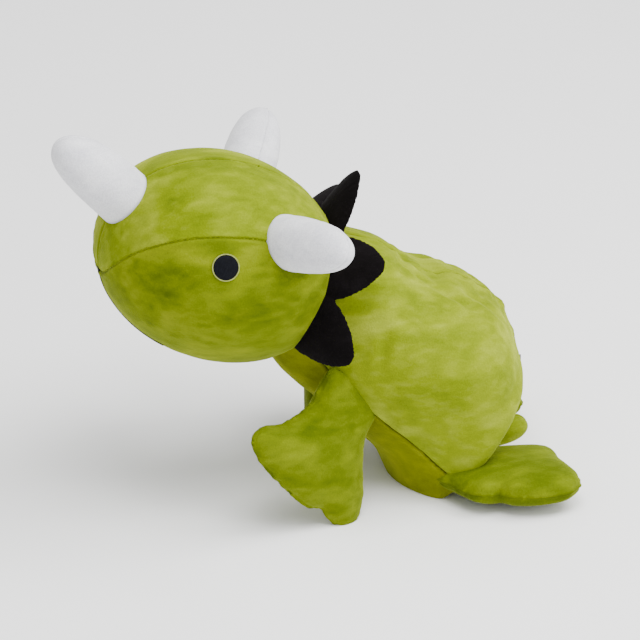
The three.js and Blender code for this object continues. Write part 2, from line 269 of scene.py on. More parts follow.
@dataclass(frozen=True)
class Plush:
    """Short brushed pile that goes lighter and darker with the lie of its nap, as random patches of painted
    sheen and painted shade.
    """

    name: str
    pile: Colour
    # shade is the pile with painted shade where its nap lies away; glow is the pile with a painted highlight
    # where the nap catches the light
    shade: Colour
    glow: Colour
    sheen: float = 0.3
    sheen_colour: Colour = (0.8, 0.9, 0.12)
    patch: float = 0.03
    turn: float = 0.5
    nap: float = 0.5

    def make(self) -> bpy.types.Material:
        """Builds the material: brushed patches and streaks with painted sheen and shade, single tufts and
        painted shade in the seam grooves.
        """
        graph = Graph(self.name)
        flat = graph.place()
        brushed = graph.place((1.0, 0.42, 1.0), (self.turn, 0.3, self.turn))
        # brushed patches and streaks: partly the pile's own uneven tone, partly painted sheen and painted
        # shade of its nap
        patches = graph.ramp(
            graph.noise(brushed, self.patch, 2.0, 0.25),
            [(0.28, self.shade), (0.5, self.pile), (0.74, self.glow)],
        )
        streaks = graph.ramp(
            graph.noise(brushed, self.patch / 4, 3.0, 0.3),
            [(0.26, self.shade), (0.5, self.pile), (0.8, self.glow)],
        )
        colour = graph.mix("MIX", 0.35, patches, streaks)
        tufts = graph.noise(flat, 0.0014, 2.0)
        speckle = graph.ramp(tufts, [(0.3, (0.74, 0.74, 0.74)), (0.7, (1.0, 1.0, 1.0))])
        colour = graph.mix("MULTIPLY", 0.75, colour, speckle)
        # painted shade: the seam attribute darkens the pile towards a deeper tone of its shade in the seam
        # grooves
        seam = graph.add("Attribute", attribute_name="seam").outputs["Fac"]
        dark = tuple(part * 0.34 for part in self.shade)
        colour = graph.mix("MIX", seam, colour, (*dark, 1))
        clumps = graph.noise(brushed, 0.0042, 3.0, 0.8)
        normal = graph.bump(clumps, self.nap * 0.6, 0.0011)
        normal = graph.bump(tufts, self.nap, 0.0006, normal)
        normal = graph.bump(graph.noise(flat, 0.00042, 1.0), self.nap * 0.7, 0.00022, normal)
        sockets = {
            "Base Color": colour,
            "Roughness": 0.88,
            "Specular IOR Level": 0.06,
            "Sheen Weight": self.sheen,
            "Sheen Roughness": 0.38,
            "Sheen Tint": (*self.sheen_colour, 1),
            "Normal": normal,
        }
        return graph.finish(sockets)


@dataclass(frozen=True)
class Thread:
    """Twisted embroidery thread."""

    name: str
    colour: Colour
    light: Colour
    roughness: float = 0.42

    def make(self) -> bpy.types.Material:
        """Builds the material: the twist of the strands and a soft shine along them."""
        graph = Graph(self.name)
        place = graph.place((1, 1, 1), (0.4, 0.2, 0.7))
        twist = graph.add("TexWave", {"Vector": place, "Scale": 900.0, "Distortion": 1.5, "Detail": 1.0})
        worn = graph.noise(place, 0.0035, 3.0)
        colour = graph.ramp(worn, [(0.3, self.colour), (0.75, self.light)])
        normal = graph.bump(twist.outputs["Fac"], 0.45, 0.00025)
        normal = graph.bump(graph.noise(place, 0.0006, 2.0), 0.35, 0.0002, normal)
        sockets = {
            "Base Color": colour,
            "Roughness": self.roughness,
            "Specular IOR Level": 0.08,
            "Sheen Weight": 0.02,
            "Sheen Roughness": 0.3,
            "Normal": normal,
        }
        return graph.finish(sockets)


@dataclass(frozen=True)
class Woven:
    """Plain woven ribbon or cotton."""

    name: str
    colour: Colour
    light: Colour
    pitch: float = 0.0006

    def make(self) -> bpy.types.Material:
        """Builds the material: two crossing sets of threads and faint wear."""
        graph = Graph(self.name)
        place = graph.place()
        heights = []
        for direction in ("X", "Z"):
            sockets = {"Vector": place, "Scale": 0.3 / self.pitch, "Distortion": 0.6, "Detail": 1.0}
            heights.append(graph.add("TexWave", sockets, bands_direction=direction).outputs["Color"])
        cloth = graph.mix("MULTIPLY", 1.0, *heights)
        worn = graph.noise(place, 0.004, 3.0)
        colour = graph.ramp(worn, [(0.3, self.colour), (0.8, self.light)])
        colour = graph.mix("MULTIPLY", 0.35, colour, cloth)
        normal = graph.bump(cloth, 0.5, 0.0002)
        sockets = {"Base Color": colour, "Roughness": 0.8, "Specular IOR Level": 0.3, "Normal": normal}
        return graph.finish(sockets)


@dataclass(frozen=True)
class Fleece:
    """Loose crimped polyester filling."""

    name: str
    colour: Colour
    shade: Colour

    def make(self) -> bpy.types.Material:
        """Builds the material: tangled clumps of pale fibre."""
        graph = Graph(self.name)
        place = graph.place()
        clumps = graph.noise(place, 0.012, 6.0, 2.0)
        colour = graph.ramp(clumps, [(0.3, self.shade), (0.65, self.colour)])
        normal = graph.bump(clumps, 0.7, 0.003)
        sockets = {
            "Base Color": colour,
            "Roughness": 0.95,
            "Sheen Weight": 0.4,
            "Sheen Roughness": 0.5,
            "Normal": normal,
        }
        return graph.finish(sockets)


@dataclass(frozen=True)
class Studio:
    """A pale floor, soft lights and the camera."""

    middle: tuple[float, float, float] = (0.0488, -0.1151, 0.1834)
    azimuth: float = 75.0
    elevation: float = 26.0
    distance: float = 1.6
    width: float = 0.576

    def camera(self) -> None:
        """Places the camera, which looks along parallel lines at the middle of the view."""
        data = bpy.data.cameras.new("camera")
        data.type = "ORTHO"
        data.ortho_scale = self.width
        data.clip_start = 0.01
        data.clip_end = 20.0
        camera = bpy.data.objects.new("camera", data)
        turn, rise = math.radians(self.azimuth), math.radians(self.elevation)
        back = Vector((math.sin(turn) * math.cos(rise), -math.cos(turn) * math.cos(rise), math.sin(rise)))
        camera.location = Vector(self.middle) + back * self.distance
        camera.rotation_mode = "QUATERNION"
        camera.rotation_quaternion = (-back).to_track_quat("-Z", "Y")
        bpy.context.scene.collection.objects.link(camera)
        bpy.context.scene.camera = camera

    def light(self, name: str, place: Sequence[float], size: float, power: float) -> None:
        """Adds a soft square light that points at the toy.

        Args:
            name: The light's name.
            place: Where it hangs.
            size: The length of its side.
            power: Its power, in watts.
        """
        data = bpy.data.lights.new(name, "AREA")
        data.shape = "SQUARE"
        data.size = size
        data.energy = power
        lamp = bpy.data.objects.new(name, data)
        lamp.location = place
        lamp.rotation_mode = "QUATERNION"
        aim = Vector((0.0, -0.1, 0.15)) - Vector(place)
        lamp.rotation_quaternion = aim.to_track_quat("-Z", "Y")
        bpy.context.scene.collection.objects.link(lamp)

    def build(self) -> None:
        """Builds the camera, the lights, the pale surroundings and the floor."""
        self.camera()
        self.light("softbox_key", (0.9, -0.1, 2.3), 1.2, 56.0)
        self.light("softbox_top", (0.3, 1.3, 2.1), 1.4, 62.0)
        self.light("softbox_fill", (1.8, 1.7, 1.1), 1.4, 34.0)
        world = bpy.data.worlds.new("pale_room")
        world.use_nodes = True
        world.node_tree.nodes["Background"].inputs["Color"].default_value = (1, 1, 1, 1)
        world.node_tree.nodes["Background"].inputs["Strength"].default_value = 1.05
        bpy.context.scene.world = world
        form = bmesh.new()
        bmesh.ops.create_grid(form, x_segments=1, y_segments=1, size=6.0)
        floor = as_object(form, "floor")
        graph = Graph("pale_floor")
        grain = graph.ramp(graph.noise(graph.place(), 0.35, 3.0), [(0.3, (0.93,) * 3), (0.7, (0.96,) * 3)])
        floor.data.materials.append(graph.finish({"Base Color": grain, "Roughness": 0.7}))


# ------------------------------------------------------------------------------ forms
def as_object(form: bmesh.types.BMesh, name: str) -> bpy.types.Object:
    """Turns a form into an object and frees the form.

    Args:
        form: The form.
        name: The object's name.

    Returns:
        The object, with smooth shading.
    """
    mesh = bpy.data.meshes.new(name)
    form.to_mesh(mesh)
    form.free()
    for face in mesh.polygons:
        face.use_smooth = True
    made = bpy.data.objects.new(name, mesh)
    bpy.context.scene.collection.objects.link(made)
    return made


def settled(made: bpy.types.Object) -> bmesh.types.BMesh:
    """Applies an object's modifiers and removes the object.

    Args:
        made: The object.

    Returns:
        Its final form.
    """
    result = made.evaluated_get(bpy.context.evaluated_depsgraph_get())
    form = bmesh.new()
    form.from_mesh(result.to_mesh())
    result.to_mesh_clear()
    mesh = made.data
    bpy.data.objects.remove(made)
    bpy.data.meshes.remove(mesh)
    return form


def aimed(place: Sequence[float], along: Sequence[float], across: Sequence[float]) -> Matrix:
    """A frame with its Y axis along a direction and its X axis near another.

    Args:
        place: The frame's origin.
        along: The direction of Y.
        across: The rough direction of X.

    Returns:
        The frame.
    """
    y = Vector(along).normalized()
    z = Vector(across).cross(y).normalized()
    x = y.cross(z)
    return Matrix.Translation(place) @ Matrix((x, y, z)).transposed().to_4x4()


def pitched(place: Sequence[float], degrees: float) -> Matrix:
    """A frame that is pitched nose-up about X.

    Args:
        place: The frame's origin.
        degrees: The pitch.

    Returns:
        The frame.
    """
    return Matrix.Translation(place) @ Matrix.Rotation(math.radians(-degrees), 4, "X")


def through(rows: Sequence[Sequence[float]], share: float) -> list[float]:
    """A smooth curve through rows of numbers.

    Args:
        rows: The rows.
        share: How far along the curve, from 0 to 1.

    Returns:
        The numbers there.
    """
    reach = min(max(share, 0.0), 1.0) * (len(rows) - 1)
    index = min(int(reach), len(rows) - 2)
    t = reach - index
    four = [rows[min(max(index + k, 0), len(rows) - 1)] for k in (-1, 0, 1, 2)]
    weights = (
        (-t + 2 * t**2 - t**3) / 2,
        (2 - 5 * t**2 + 3 * t**3) / 2,
        (t + 4 * t**2 - 3 * t**3) / 2,
        (-(t**2) + t**3) / 2,
    )
    return [sum(w * row[k] for w, row in zip(weights, four)) for k in range(len(rows[0]))]


def ball(level: int) -> bmesh.types.BMesh:
    """A unit ball of even triangles.

    Args:
        level: How many times it is divided.

    Returns:
        The form.
    """
    form = bmesh.new()
    bmesh.ops.create_icosphere(form, subdivisions=level, radius=1.0)
    return form


def shaped(form: bmesh.types.BMesh, place: Callable[[Vector], Vector]) -> bmesh.types.BMesh:
    """Moves every point of a form.

    Args:
        form: The form.
        place: Gives a point's new place.

    Returns:
        The same form.
    """
    for vert in form.verts:
        vert.co = place(vert.co)
    return form


def swollen(form: bmesh.types.BMesh, height: Callable[[Vector, Vector], float]) -> None:
    """Moves every point of a form along its normal.

    Args:
        form: The form.
        height: Gives the distance from a point and its normal.
    """
    form.normal_update()
    moves = [vert.normal * height(vert.co, vert.normal) for vert in form.verts]
    for vert, move in zip(form.verts, moves):
        vert.co += move


def cut_along(form: bmesh.types.BMesh, field: Field, within: Callable[[Vector], bool]) -> None:
    """Splits faces where a field changes sign, so that a seam has its own edges.

    Args:
        form: The form.
        field: The signed distance from the seam.
        within: Tells whether the seam runs at a point.
    """
    value = {vert: field(vert.co) if within(vert.co) else 1.0 for vert in form.verts}
    crossed = [edge for edge in form.edges if value[edge.verts[0]] * value[edge.verts[1]] < 0]
    for edge in crossed:
        first, second = edge.verts
        for near, far in ((first, second), (second, first)):
            if value[near] * value[far] < 0 and value[near] / (value[near] - value[far]) < 0.22:
                near.co = near.co.lerp(far.co, value[near] / (value[near] - value[far]))
                value[near] = 0.0
    for edge in crossed:
        first, second = edge.verts
        if value[first] * value[second] < 0:
            share = value[first] / (value[first] - value[second])
            value[bmesh.utils.edge_split(edge, first, share)[1]] = 0.0
    seam = [vert for vert in form.verts if value[vert] == 0.0]
    bmesh.ops.connect_verts(form, verts=seam)


SEAM_REACH = 14  # in widths of the seam, how far it moves the cloth
SWELL_AT = 2.6  # in widths, where the cloth stands proudest beside a seam
SWELL_WIDTH = 1.5
GATHER_FADE = 5  # in widths, how fast the gathers die away
LUMP_GRAIN = 130  # lumps of the swell to a metre, about
GATHER_GRAIN = 115


@dataclass(frozen=True)
class Seam:
    """A sewn line that sinks into the pile, with the cloth puffed up beside it."""

    field: Field
    within: Callable[[Vector], bool] = lambda point: True
    depth: float = 1.5 * MM
    width: float = 1.5 * MM
    puff: float = 0.7 * MM
    gather: float = 0.0
    # how strongly painted shade darkens the pile in the seam's groove
    dark: float = 0.8

    def away(self, point: Vector, normal: Vector) -> float:
        """How far a point is from the seam, along the surface.

        Args:
            point: The point.
            normal: The surface's normal there.

        Returns:
            The distance, or a large number far from the seam.
        """
        here = self.field(point)
        if abs(here) > SEAM_REACH * self.width or not self.within(point):
            return 1.0
        step = 0.2 * MM
        slope = Vector([(self.field(point + axis * step) - here) / step for axis in AXES])
        flat = slope - normal * slope.dot(normal)
        return abs(here) / max(flat.length, 0.3)


AXES = (Vector((1, 0, 0)), Vector((0, 1, 0)), Vector((0, 0, 1)))


def sew(form: bmesh.types.BMesh, seams: Sequence[Seam]) -> None:
    """Sinks the seams of a form and marks the painted shade of their grooves for the finish.

    Args:
        form: The form, with edges along its seams.
        seams: The seams.
    """
    mark = form.verts.layers.float.new("seam")
    form.normal_update()
    moves = []
    for vert in form.verts:
        height, groove_shade = 0.0, 0.0
        for seam in seams:
            share = seam.away(vert.co, vert.normal) / seam.width
            if share < SEAM_REACH:
                fall = math.exp(-share * share)
                swell = math.exp(-(((share - SWELL_AT) / SWELL_WIDTH) ** 2))
                lumps = 1 + 0.9 * noise.noise(vert.co * LUMP_GRAIN)
                height += seam.puff * swell * lumps - seam.depth * fall
                gathered = noise.noise(vert.co * GATHER_GRAIN)
                height += seam.gather * math.exp(-share / GATHER_FADE) * gathered
                # painted shade, strongest at the bottom of the groove
                groove_shade = max(groove_shade, seam.dark * math.exp(-((share * 1.5) ** 2)))
        vert[mark] = groove_shade
        moves.append(vert.normal * height)
    for vert, move in zip(form.verts, moves):
        vert.co += move


@dataclass(frozen=True)
class Padding:
    """How a form is plumped up by a cloth simulation."""

    voxel: float = 4.5 * MM
    pressure: float = 4.0
    frames: int = 20
    limit: float = 8 * MM
    hold: float = 4 * MM

    def plump(self, form: bmesh.types.BMesh, name: str, rim: Field | None = None) -> bmesh.types.BMesh:
        """Blows a form up from inside, holding its sewn rim.

        Args:
            form: The slack form.
            name: A name for the work.
            rim: The distance from the rim, if it is held.

        Returns:
            The plumped form, with finer faces.
        """
        work = as_object(form, name)
        remesh = work.modifiers.new("remesh", "REMESH")
        remesh.mode = "VOXEL"
        remesh.voxel_size = self.voxel
        work = as_object(settled(work), name)
        before = [vert.co.copy() for vert in work.data.vertices]
        cloth = work.modifiers.new("cloth", "CLOTH")
        cloth.settings.quality = 5
        cloth.settings.use_pressure = True
        cloth.settings.uniform_pressure_force = self.pressure
        cloth.settings.effector_weights.gravity = 0
        cloth.settings.tension_stiffness = 8
        cloth.settings.compression_stiffness = 8
        cloth.settings.bending_stiffness = 0.3
        cloth.collision_settings.use_collision = False
        if rim is not None:
            held = work.vertex_groups.new(name="held")
            points = [v.index for v in work.data.vertices if abs(rim(v.co)) < self.hold]
            held.add(points, 1.0, "REPLACE")
            cloth.settings.vertex_group_mass = held.name
        for frame_number in range(1, self.frames + 1):
            bpy.context.scene.frame_set(frame_number)
        plumped = settled(work)
        bpy.context.scene.frame_set(1)
        plumped.verts.ensure_lookup_table()
        for vert, start in zip(plumped.verts, before):
            move = vert.co - start
            if move.length > self.limit:
                vert.co = start + move.normalized() * self.limit
        return plumped


def refined(form: bmesh.types.BMesh, name: str, levels: int) -> bmesh.types.BMesh:
    """Rounds a form with a subdivision surface.

    Args:
        form: The form.
        name: A name for the work.
        levels: How many times it is divided.

    Returns:
        The finer form, in triangles.
    """
    work = as_object(form, name)
    surface = work.modifiers.new("surface", "SUBSURF")
    surface.levels = levels
    surface.render_levels = levels
    fine = settled(work)
    bmesh.ops.triangulate(fine, faces=fine.faces)
    return fine


class Sewn:
    """A stuffed form whose cover is cut into panels and sewn together again."""

    skin = 2.2 * MM

    def panels(
        self,
        form: bmesh.types.BMesh,
        frame: Matrix,
        sort: Callable[[Vector], str],
        finishes: dict[str, tuple[bpy.types.Material, Slot]],
    ) -> dict[str, bpy.types.Object]:
        """Parts a sewn form into closed panels of cloth.

        Args:
            form: The sewn form, in its own frame.
            frame: The form's frame.
            sort: Names the panel that a point belongs to.
            finishes: The finish and the slot of each panel.

        Returns:
            The panels, by name.
        """
        owner = [sort(face.calc_center_median()) for face in form.faces]
        made = {}
        for name, (finish, slot) in finishes.items():
            panel = form.copy()
            others = [face for face, own in zip(panel.faces, owner) if own != name]
            bmesh.ops.delete(panel, geom=others, context="FACES")
            bmesh.ops.transform(panel, matrix=frame, verts=panel.verts)
            if frame.determinant() < 0:
                bmesh.ops.reverse_faces(panel, faces=panel.faces)
            cloth = as_object(panel, name)
            wall = cloth.modifiers.new("wall", "SOLIDIFY")
            wall.thickness = self.skin
            wall.offset = -1
            made[name] = as_object(settled(cloth), name)
            made[name].data.materials.append(finish)
        form.free()
        return made


def report(made: bpy.types.Object) -> None:
    """Logs one finished piece."""
    LOG.info("%s: %d faces", made.name, len(made.data.polygons))


# ------------------------------------------------------------------------------ sub-assemblies
@dataclass(frozen=True)
class Wardrobe:
    """Every finish of the toy, made once."""

    crown: bpy.types.Material
    # cheek, paw and paw_sole are copies of the crown's lime plush darkened for painted shade; back is a copy
    # lightened for painted light
    cheek: bpy.types.Material
    back: bpy.types.Material
    # belly: its own yellower olive tone, also darkened as painted shade for a panel facing down
    belly: bpy.types.Material
    paw: bpy.types.Material
    paw_sole: bpy.types.Material
    white: bpy.types.Material
    charcoal: bpy.types.Material
    thread: bpy.types.Material
    edging: bpy.types.Material
    ribbon: bpy.types.Material
    cotton: bpy.types.Material
    filling: bpy.types.Material


def wardrobe() -> Wardrobe:
    """Makes every finish.

    Returns:
        The finishes.
    """
    lime = Plush("lime_plush_crown", (0.155, 0.205, 0.0), (0.085, 0.125, 0.0), (0.29, 0.34, 0.02))
    # the crown copy is the lime plush's own colour; the cheek, paw and sole copies are darker for painted
    # shade and the back copy is lighter for painted light
    cheek = Plush(
        "lime_plush_cheek",
        (0.115, 0.155, 0.0),
        (0.055, 0.082, 0.0),
        (0.215, 0.255, 0.004),
        turn=-0.9,
    )
    back = Plush(
        "lime_plush_back",
        (0.185, 0.235, 0.003),
        (0.115, 0.16, 0.0),
        (0.33, 0.38, 0.035),
        turn=1.1,
    )
    # the belly's own olive tone, made darker as painted shade because the panel faces down
    belly = Plush(
        "olive_plush_belly",
        (0.155, 0.175, 0.0),
        (0.10, 0.115, 0.0),
        (0.23, 0.245, 0.008),
        turn=0.2,
    )
    paw = Plush("lime_plush_paw", (0.095, 0.13, 0.0), (0.05, 0.078, 0.0), (0.19, 0.235, 0.005), turn=0.7)
    sole = Plush("lime_plush_sole", (0.075, 0.105, 0.0), (0.04, 0.06, 0.0), (0.14, 0.175, 0.003), turn=-0.4)
    # the white plush's bluish shade stop is a painted lilac-grey shadow on the white pile
    white = Plush(
        "white_plush",
        (0.72, 0.72, 0.75),
        (0.62, 0.62, 0.67),
        (0.85, 0.85, 0.87),
        sheen=0.3,
        sheen_colour=(1, 1, 1),
        patch=0.02,
        turn=0.3,
        nap=0.4,
    )
    charcoal = Plush(
        "charcoal_plush",
        (0.0028, 0.0020, 0.0022),
        (0.0018, 0.0012, 0.0013),
        (0.0055, 0.0042, 0.0048),
        sheen=0.02,
        sheen_colour=(0.5, 0.4, 0.45),
        patch=0.018,
        turn=0.9,
        nap=0.45,
    )
    return Wardrobe(
        crown=lime.make(),
        cheek=cheek.make(),
        back=back.make(),
        belly=belly.make(),
        paw=paw.make(),
        paw_sole=sole.make(),
        white=white.make(),
        charcoal=charcoal.make(),
        thread=Thread("black_embroidery", (0.0012, 0.0015, 0.003), (0.003, 0.0035, 0.006), 0.6).make(),
        edging=Thread("pale_embroidery", (0.22, 0.25, 0.05), (0.32, 0.35, 0.12), 0.7).make(),
        ribbon=Woven("dark_ribbon", (0.03, 0.035, 0.03), (0.07, 0.075, 0.07)).make(),
        cotton=Woven("pouch_cotton", (0.7, 0.7, 0.68), (0.82, 0.82, 0.8), 0.0009).make(),
        filling=Fleece("polyester_fleece", (0.86, 0.86, 0.85), (0.7, 0.7, 0.69)).make(),
    )


@dataclass(frozen=True)
class Head(Sewn):
    """The big round head: two cheeks and two crown panels."""

    centre: tuple[float, float, float] = (0, -0.198, 0.236)
    pitch: float = 25
    half_width: float = 0.102
    half_length: float = 0.114
    half_height: float = 0.0925
    squareness: float = 2.06
    opening: float = 0.0965
    cheek_halves: tuple[float, float] = (0.123, 0.083)
    cheek_middle: tuple[float, float] = (0.02, -0.027)

    @property
    def frame(self) -> Matrix:
        """The head's own frame."""
        return pitched(self.centre, self.pitch)

    @property
    def halves(self) -> tuple[float, float, float]:
        """Half the head's size along each of its own axes."""
        return self.half_width, self.half_length, self.half_height

    def onto(self, direction: Vector) -> Vector:
        """The point of the cover in a direction.

        Args:
            direction: The direction, where the head is a unit ball.

        Returns:
            The point, in the head's own frame.
        """
        total = sum(abs(part) ** self.squareness for part in direction)
        size = total ** (-1 / self.squareness)
        return Vector([part * half * size for part, half in zip(direction, self.halves)])

    def front(self, left: float, up: float) -> Vector:
        """The point on the front of the head at a distance to the left and up.

        Args:
            left: The distance to the left.
            up: The distance up.

        Returns:
            The point, in the head's own frame.
        """
        side, rise = abs(left / self.half_width), abs(up / self.half_height)
        rest = max(1 - side**self.squareness - rise**self.squareness, 0.0)
        return Vector((left, -self.half_length * rest ** (1 / self.squareness), up))

    def normal(self, point: Vector) -> Vector:
        """The cover's outward direction near a point of it."""
        return Vector([part / half**2 for part, half in zip(point, self.halves)]).normalized()

    def cheek_field(self, point: Vector) -> float:
        """The distance outside the oval cheek seam."""
        back = (point.y - self.cheek_middle[0]) / self.cheek_halves[0]
        up = (point.z - self.cheek_middle[1]) / self.cheek_halves[1]
        slope = math.hypot(back / self.cheek_halves[0], up / self.cheek_halves[1]) * 2
        return (back * back + up * up - 1) / max(slope, 1.0)

    def sort(self, point: Vector) -> str:
        """The panel that a point belongs to."""
        side = "left" if point.x > 0 else "right"
        return f"{'cheek' if self.cheek_field(point) < 0 else 'crown'}_{side}"

    def build(self, cloth: Wardrobe) -> list[bpy.types.Object]:
        """Builds the four panels.

        Args:
            cloth: The finishes.

        Returns:
            The pieces.
        """
        form = shaped(ball(7), self.onto)
        everything = form.verts[:] + form.edges[:] + form.faces[:]
        bmesh.ops.bisect_plane(
            form, geom=everything, plane_co=(0, self.opening, 0), plane_no=(0, 1, 0), clear_outer=True
        )
        swollen(form, lambda at, out: 0.9 * MM * noise.noise(at * 20) + 0.35 * MM * noise.noise(at * 62))
        everything = form.verts[:] + form.edges[:] + form.faces[:]
        bmesh.ops.bisect_plane(form, geom=everything, plane_co=(0, 0, 0), plane_no=(1, 0, 0))
        cut_along(form, self.cheek_field, lambda point: True)
        middle = Seam(lambda point: point.x, depth=0.6 * MM, width=1.1 * MM, puff=0.4 * MM, dark=0.3)
        cheek = Seam(self.cheek_field, depth=1.0 * MM, width=1.1 * MM, gather=0.35 * MM, dark=0.4)
        sew(form, (middle, cheek))
        finishes = {}
        for side in Side:
            finishes[f"crown_{side.word}"] = (cloth.crown, Slot.GREEN)
            finishes[f"cheek_{side.word}"] = (cloth.cheek, Slot.GREEN)
        made = self.panels(form, self.frame, self.sort, finishes)
        for name, piece in made.items():
            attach(piece, "head")
            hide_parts(name)
        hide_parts("head_filling")
        return list(made.values())


@dataclass(frozen=True)
class Face:
    """The embroidered eyes and mouth."""

    eye: tuple[float, float, float] = (0.0972, -0.0308, 0.0243)
    radius: float = 11.8 * MM
    edging: float = 1.1 * MM
    crown: float = 1.3 * MM
    stitches: int = 84
    mouth: tuple[tuple[float, float], ...] = (
        (0.038, -0.084),
        (0.03, -0.0832),
        (0.02, -0.081),
        (0.01, -0.0765),
        (0, -0.069),
    )
    stem: tuple[tuple[float, float], ...] = ((0, -0.044), (0, -0.052), (0, -0.061), (0, -0.069))
    stitch_pitch: float = 1.1 * MM

    def stitch(self, form: bmesh.types.BMesh, place: Matrix, length: float, girth: float) -> None:
        """Adds one stitch, a slim bead that lies on the cloth.

        Args:
            form: The form to add it to.
            place: Its frame, with X along the stitch and Z out of the cloth.
            length: The stitch's length.
            girth: Its thickness.
        """
        made = bmesh.ops.create_icosphere(form, subdivisions=2, radius=1.0)["verts"]
        size = Matrix.Diagonal((length / 2, girth / 2, girth / 2, 1))
        bmesh.ops.transform(form, matrix=place @ size, verts=made)

    def eye_frame(self, head: Head, side: Side) -> Matrix:
        """The frame of an eye, with Z out of the head."""
        place = Vector((self.eye[0] * side.value, self.eye[1], self.eye[2]))
        place = head.onto(Vector([part / half for part, half in zip(place, head.halves)]))
        out = head.normal(place)
        return head.frame @ Matrix.Translation(place) @ out.to_track_quat("Z", "Y").to_matrix().to_4x4()

    def disc(self, name: str, frame: Matrix) -> bpy.types.Object:
        """Builds the satin-stitched disc of an eye.

        Args:
            name: The piece's name.
            frame: The eye's frame.

        Returns:
            The piece.
        """
        form = bmesh.new()
        bmesh.ops.create_uvsphere(form, u_segments=72, v_segments=36, radius=1.0)

        def place(point: Vector) -> Vector:
            ridge = 0.12 * MM * math.sin(point.x * self.radius / (0.42 * MM)) * max(point.z, 0)
            height = self.crown if point.z > 0 else 2.5 * MM
            return Vector((point.x * self.radius, point.y * self.radius, point.z * height + ridge))

        shaped(form, place)
        bmesh.ops.transform(form, matrix=frame, verts=form.verts)
        return as_object(form, name)

    def rim(self, name: str, frame: Matrix) -> bpy.types.Object:
        """Builds the ring of short pale stitches round an eye.

        Args:
            name: The piece's name.
            frame: The eye's frame.

        Returns:
            The piece.
        """
        form = bmesh.new()
        for index in range(self.stitches):
            turn = Matrix.Rotation(2 * math.pi * index / self.stitches, 4, "Z")
            place = turn @ Matrix.Translation((self.radius + self.edging * 0.25, 0, 0.15 * MM))
            self.stitch(form, frame @ place, self.edging * 1.2, 1.1 * MM)
        return as_object(form, name)

    def line(
        self, head: Head, places: Sequence[tuple[float, float]], form: bmesh.types.BMesh, width: float
    ) -> None:
        """Works one line of satin stitch over the front of the head.

        Args:
            head: The head.
            places: The line's points, to the left and up.
            form: The form to add the stitches to.
            width: The line's width.
        """
        points = [head.front(*through(places, step / 400)) for step in range(401)]
        since = 0.0
        for before, after in zip(points, points[1:]):
            since += (after - before).length
            if since < self.stitch_pitch:
                continue
            since = 0.0
            out = head.normal(after)
            ahead = (after - before).normalized()
            across = out.cross(ahead).normalized()
            out = ahead.cross(across)
            turn = Matrix((across, ahead, out)).transposed().to_4x4()
            place = head.frame @ Matrix.Translation(after + out * 0.3 * MM) @ turn
            self.stitch(form, place, width, 1.7 * MM)

    def build(self, head: Head, cloth: Wardrobe) -> list[bpy.types.Object]:
        """Builds the eyes, their rims and the mouth.

        Args:
            head: The head.
            cloth: The finishes.

        Returns:
            The pieces.
        """
        made = []
        for side in Side:
            frame = self.eye_frame(head, side)
            eye = self.disc(f"eye_{side.word}_satin", frame)
            rim = self.rim(f"eye_{side.word}_edging", frame)
            made += [
                (eye, cloth.thread, Slot.THREAD, f"eye_{side.word}"),
                (rim, cloth.edging, Slot.EDGING, f"eye_rim_{side.word}"),
            ]
        form = bmesh.new()
        self.line(head, self.stem, form, 3.4 * MM)
        self.line(head, self.mouth, form, 4.2 * MM)
        self.line(head, [(-left, up) for left, up in self.mouth], form, 4.2 * MM)
        made.append((as_object(form, "mouth_satin"), cloth.thread, Slot.THREAD, "mouth_stitching"))
        for piece, finish, slot, node in made:
            piece.data.materials.append(finish)
            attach(piece, "head")
            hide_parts(node)
        return [piece for piece, *_ in made]


@dataclass(frozen=True)
class Fold:
    """A long soft fold of the cover, in millimetres of the torso's own frame."""

    start: tuple[float, float, float]
    end: tuple[float, float, float]
    depth: float
    width: float
    reach: float = 3.5
    shallow: float = 0.25
    bank: float = 0.45
    bank_at: float = 1.9

    def height(self, point: Vector) -> float:
        """How far the cover stands out by the fold: sunk along it, with a bank on each side.

        Args:
            point: A point of the cover.

        Returns:
            The height in metres, below zero in the fold.
        """
        first, run = Vector(self.start) * MM, (Vector(self.end) - Vector(self.start)) * MM
        here = Vector((abs(point.x), point.y, point.z)) - first
        share = min(max(here.dot(run) / run.length_squared, 0.0), 1.0)
        away = (here - run * share).length / (self.width * MM)
        if away >= self.reach:
            return 0.0
        ends = self.shallow + (1 - self.shallow) * math.sin(math.pi * share)
        shape = math.exp(-away * away) - self.bank * math.exp(-((away - self.bank_at) ** 2))
        return -self.depth * MM * ends * shape


